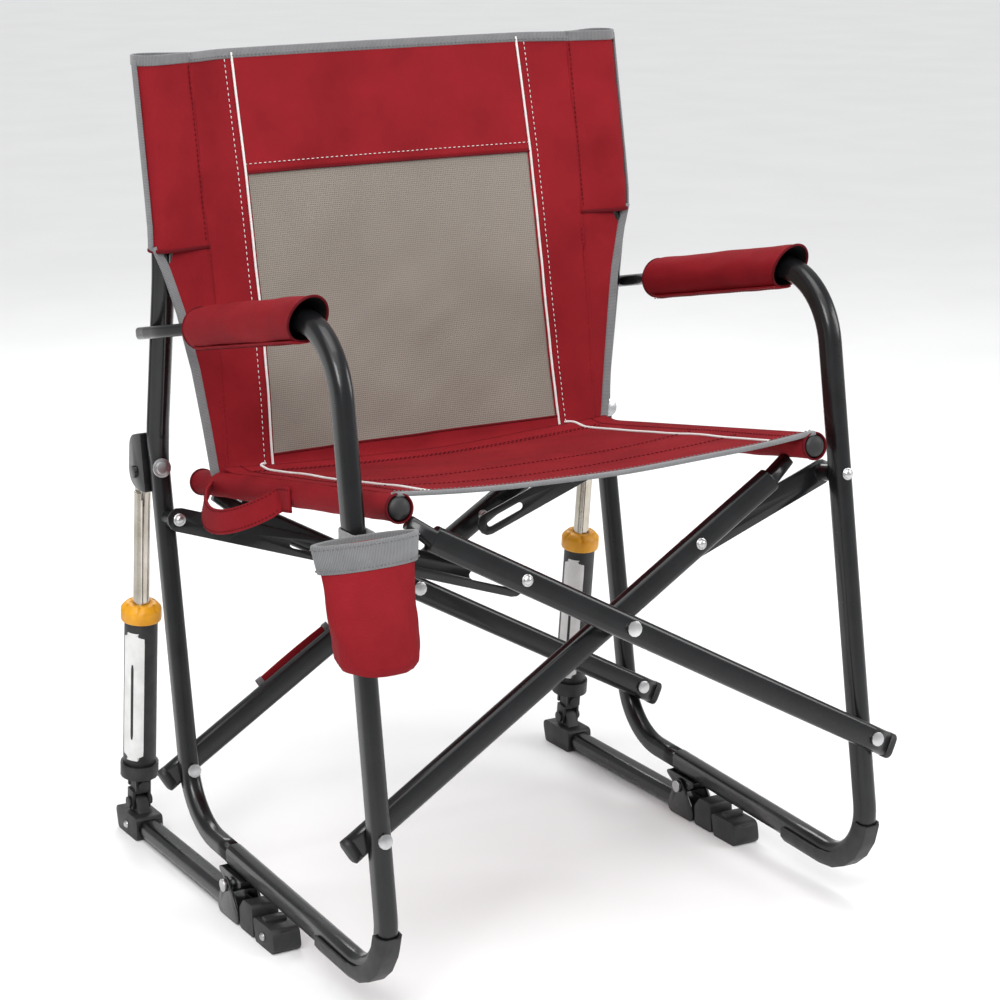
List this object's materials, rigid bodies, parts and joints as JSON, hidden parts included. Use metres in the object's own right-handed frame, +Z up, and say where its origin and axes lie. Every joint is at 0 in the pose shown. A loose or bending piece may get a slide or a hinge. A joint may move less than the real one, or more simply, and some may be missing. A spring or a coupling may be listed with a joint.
{
  "type": "folding rocking camp chair",
  "caption": "Folding camp chair with sling seat and back, padded arms and a cup holder, rocking on ground rails with spring pistons.",
  "frame": {"origin": "bottom centre of the whole chair's bounding box, on the ground", "axes": "+Z up, -Y the way the sitter faces, +X the right side as seen from the front"},
  "size_m": [0.6523, 0.6938, 0.88],
  "materials": {
    "steel_paint": "charcoal powder coat, semi-gloss",
    "zinc": "bright zinc plate",
    "rod_steel": "polished steel",
    "black_plastic": "matt moulded plastic",
    "yellow_plastic": "satin moulded plastic",
    "red_fabric": "woven polyester",
    "grey_mesh": "open mesh with red top band and side panels"
  },
  "bodies": {
    "stand_left": {"left_ground_rail": "steel_paint", "left_rail_end_cap": "black_plastic", "left_bumper_sleeve": "black_plastic", "left_rock_bracket": "steel_paint", "left_rock_bolt": "zinc", "left_rear_clamp": "black_plastic"},
    "frame_left": {"left_rear_tube": "steel_paint", "left_front_tube": "steel_paint", "left_foot_boot": "black_plastic", "left_rock_hanger": "steel_paint", "left_piston_bracket": "steel_paint", "left_back_bolt": "zinc", "left_arm_cover": "red_fabric", "left_front_foot_bolt": "zinc", "left_rear_foot_bolt": "zinc", "cup_holder": "red_fabric", "back_sling": "grey_mesh"},
    "cylinder_left": {"left_swivel_yoke": "black_plastic", "left_cylinder_foot": "black_plastic", "left_cylinder": "black_plastic", "left_guide_cap": "yellow_plastic", "left_spring": "zinc"},
    "rod_left": {"left_piston_rod": "rod_steel"},
    "scissor_a": {"scissor_a_front": "steel_paint", "scissor_a_rear": "steel_paint", "right_seat_rail": "steel_paint", "front_cross_bolt": "zinc", "rear_cross_bolt": "zinc", "carry_strap": "red_fabric"},
    "scissor_b": {"scissor_b_front": "steel_paint", "scissor_b_rear": "steel_paint", "left_seat_rail": "steel_paint", "seat_sling": "red_fabric", "carry_handle": "red_fabric"},
    "frame_right": {"right_rear_tube": "steel_paint", "right_front_tube": "steel_paint", "right_foot_boot": "black_plastic", "right_rock_hanger": "steel_paint", "right_piston_bracket": "steel_paint", "right_back_bolt": "zinc", "right_arm_cover": "red_fabric", "right_front_foot_bolt": "zinc", "right_rear_foot_bolt": "zinc"},
    "stand_right": {"right_ground_rail": "steel_paint", "right_rail_end_cap": "black_plastic", "right_bumper_sleeve": "black_plastic", "right_rock_bracket": "steel_paint", "right_rock_bolt": "zinc", "right_rear_clamp": "black_plastic"},
    "cylinder_right": {"right_swivel_yoke": "black_plastic", "right_cylinder_foot": "black_plastic", "right_cylinder": "black_plastic", "right_guide_cap": "yellow_plastic", "right_spring": "zinc"},
    "rod_right": {"right_piston_rod": "rod_steel"},
    "link_front_left": {"left_front_link": "steel_paint"},
    "link_rear_left": {"left_rear_link": "steel_paint"},
    "link_front_right": {"right_front_link": "steel_paint"},
    "link_rear_right": {"right_rear_link": "steel_paint"}
  },
  "joints": [
    {"name": "rock", "type": "hinge", "parent": "stand_left", "child": "frame_left", "pos_m": [-0.26815, 0.04507, 0.036], "axis": [-1, 0, 0], "range_deg": [0, 15], "stiffness_Nm_per_rad": 60, "springref_deg": -14.32},
    {"name": "left_piston_tilt", "type": "hinge", "parent": "stand_left", "child": "cylinder_left", "pos_m": [-0.26815, 0.31607, 0.038], "axis": [-1, 0, 0], "range_deg": [0, 15.2]},
    {"name": "left_piston_slide", "type": "slide", "parent": "cylinder_left", "child": "rod_left", "axis": [0, 0.125, -0.9922], "range_m": [0, 0.0708], "deforming": ["left_spring"]},
    {"name": "fold", "type": "hinge", "parent": "frame_left", "child": "scissor_a", "pos_m": [-0.26515, -0.26711, 0.19268], "axis": [0, -0.9869, 0.1616], "range_deg": [0, 37], "deforming": ["back_sling"]},
    {"name": "cross", "type": "hinge", "parent": "scissor_a", "child": "scissor_b", "pos_m": [0.01685, 0.03502, 0.30504], "axis": [0, -0.9869, 0.1616], "range_deg": [-74, 0], "deforming": ["seat_sling", "carry_handle"]},
    {"name": "fold_right", "type": "hinge", "parent": "scissor_b", "child": "frame_right", "pos_m": [0.29885, -0.26711, 0.19268], "axis": [0, -0.9869, 0.1616], "range_deg": [0, 37]},
    {"name": "rock_right", "type": "hinge", "parent": "frame_right", "child": "stand_right", "pos_m": [0.30185, 0.04507, 0.036], "axis": [-1, 0, 0], "range_deg": [-15, 0]},
    {"name": "right_piston_tilt", "type": "hinge", "parent": "stand_right", "child": "cylinder_right", "pos_m": [0.30185, 0.31607, 0.038], "axis": [-1, 0, 0], "range_deg": [0, 15.2]},
    {"name": "right_piston_slide", "type": "slide", "parent": "cylinder_right", "child": "rod_right", "axis": [0, 0.125, -0.9922], "range_m": [0, 0.0708], "deforming": ["right_spring"]},
    {"name": "link_front_left_swing", "type": "hinge", "parent": "frame_left", "child": "link_front_left", "pos_m": [-0.26275, -0.21566, 0.46353], "axis": [0, -0.9869, 0.1616], "range_deg": [0, 80.9]},
    {"name": "link_rear_left_swing", "type": "hinge", "parent": "frame_left", "child": "link_rear_left", "pos_m": [-0.26275, 0.18362, 0.39815], "axis": [0, -0.9869, 0.1616], "range_deg": [0, 80.9]},
    {"name": "link_front_right_swing", "type": "hinge", "parent": "frame_right", "child": "link_front_right", "pos_m": [0.29645, -0.1975, 0.46056], "axis": [0, -0.9869, 0.1616], "range_deg": [-80.9, 0]},
    {"name": "link_rear_right_swing", "type": "hinge", "parent": "frame_right", "child": "link_rear_right", "pos_m": [0.29645, 0.208, 0.39415], "axis": [0, -0.9869, 0.1616], "range_deg": [-80.9, 0]}
  ],
  "couplings": [
    {"joint": "rock_right", "follows": "rock", "ratio": -1},
    {"joint": "left_piston_tilt", "follows": "rock", "ratio": 1.011},
    {"joint": "right_piston_tilt", "follows": "rock", "ratio": 1.011},
    {"joint": "left_piston_slide", "follows": "rock", "m_per_rad": 0.27},
    {"joint": "right_piston_slide", "follows": "rock", "m_per_rad": 0.27},
    {"joint": "cross", "follows": "fold", "ratio": -2},
    {"joint": "fold_right", "follows": "fold", "ratio": 1},
    {"joint": "link_front_left_swing", "follows": "fold", "ratio": 2.184},
    {"joint": "link_rear_left_swing", "follows": "fold", "ratio": 2.184},
    {"joint": "link_front_right_swing", "follows": "fold", "ratio": -2.184},
    {"joint": "link_rear_right_swing", "follows": "fold", "ratio": -2.184}
  ]
}
